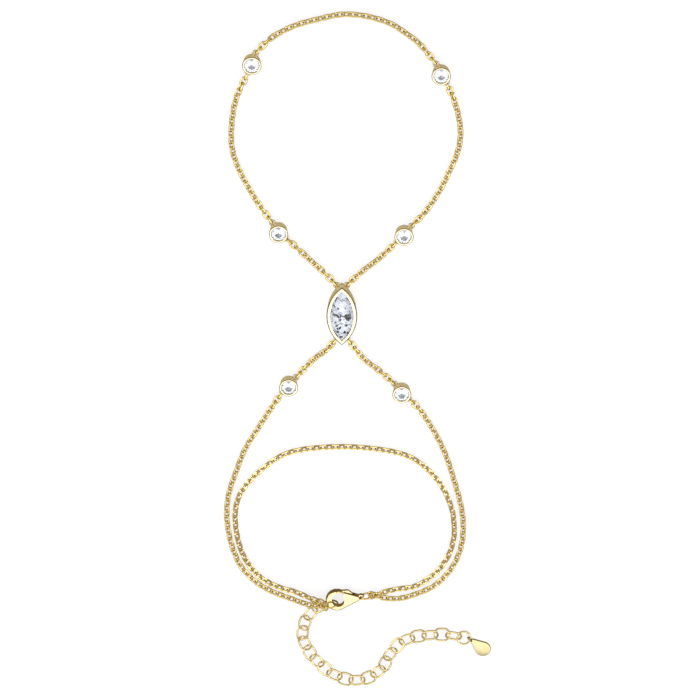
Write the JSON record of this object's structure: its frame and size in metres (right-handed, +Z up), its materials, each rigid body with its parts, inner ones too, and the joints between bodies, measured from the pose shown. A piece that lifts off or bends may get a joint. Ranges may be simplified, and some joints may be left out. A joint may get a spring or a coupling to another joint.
{
  "type": "chain bracelet",
  "caption": "Fine gilt chain bracelet with a hand loop, round and marquise bezel-set clear stones, a lobster clasp, an extender chain and a small end tag, lying flat.",
  "frame": {"origin": "under the middle of the bracelet's box, on the surface that it lies on", "axes": "+Y from the extender towards the hand loop, +X to the right seen from above, +Z up, away from the skin"},
  "size_m": [0.0574, 0.1562, 0.0037],
  "materials": {
    "gilt_setting": "polished",
    "clear_stone": "polished facets",
    "gilt_chain": "polished",
    "gilt_clasp": "polished"
  },
  "bodies": {
    "bracelet": {"marquise_setting": "gilt_setting", "round_setting_1": "gilt_setting", "round_setting_2": "gilt_setting", "round_setting_3": "gilt_setting", "round_setting_4": "gilt_setting", "round_setting_5": "gilt_setting", "round_setting_6": "gilt_setting", "marquise_stone": "clear_stone", "round_stone_1": "clear_stone", "round_stone_2": "clear_stone", "round_stone_3": "clear_stone", "round_stone_4": "clear_stone", "round_stone_5": "clear_stone", "round_stone_6": "clear_stone", "hand_chain_1": "gilt_chain", "hand_chain_2": "gilt_chain", "hand_chain_3": "gilt_chain", "hand_chain_4": "gilt_chain", "hand_chain_5": "gilt_chain", "fork_chain_1": "gilt_chain", "fork_chain_2": "gilt_chain", "outer_chain_1": "gilt_chain", "outer_chain_2": "gilt_chain", "wrist_chain": "gilt_chain", "extender_chain": "gilt_chain", "hook_ring": "gilt_chain", "tail_ring": "gilt_chain", "tag_ring": "gilt_chain", "clasp_body": "gilt_clasp", "clasp_pin": "gilt_clasp", "end_tag": "gilt_clasp"},
    "lever": {"clasp_lever": "gilt_clasp"}
  },
  "joints": [
    {"name": "lever_hinge", "type": "hinge", "parent": "bracelet", "child": "lever", "pos_m": [-0.00216, -0.05586, 0.0015], "axis": [0, 0, 1], "range_deg": [0, 34], "stiffness_Nm_per_rad": 0.001, "springref_deg": -11.46}
  ]
}
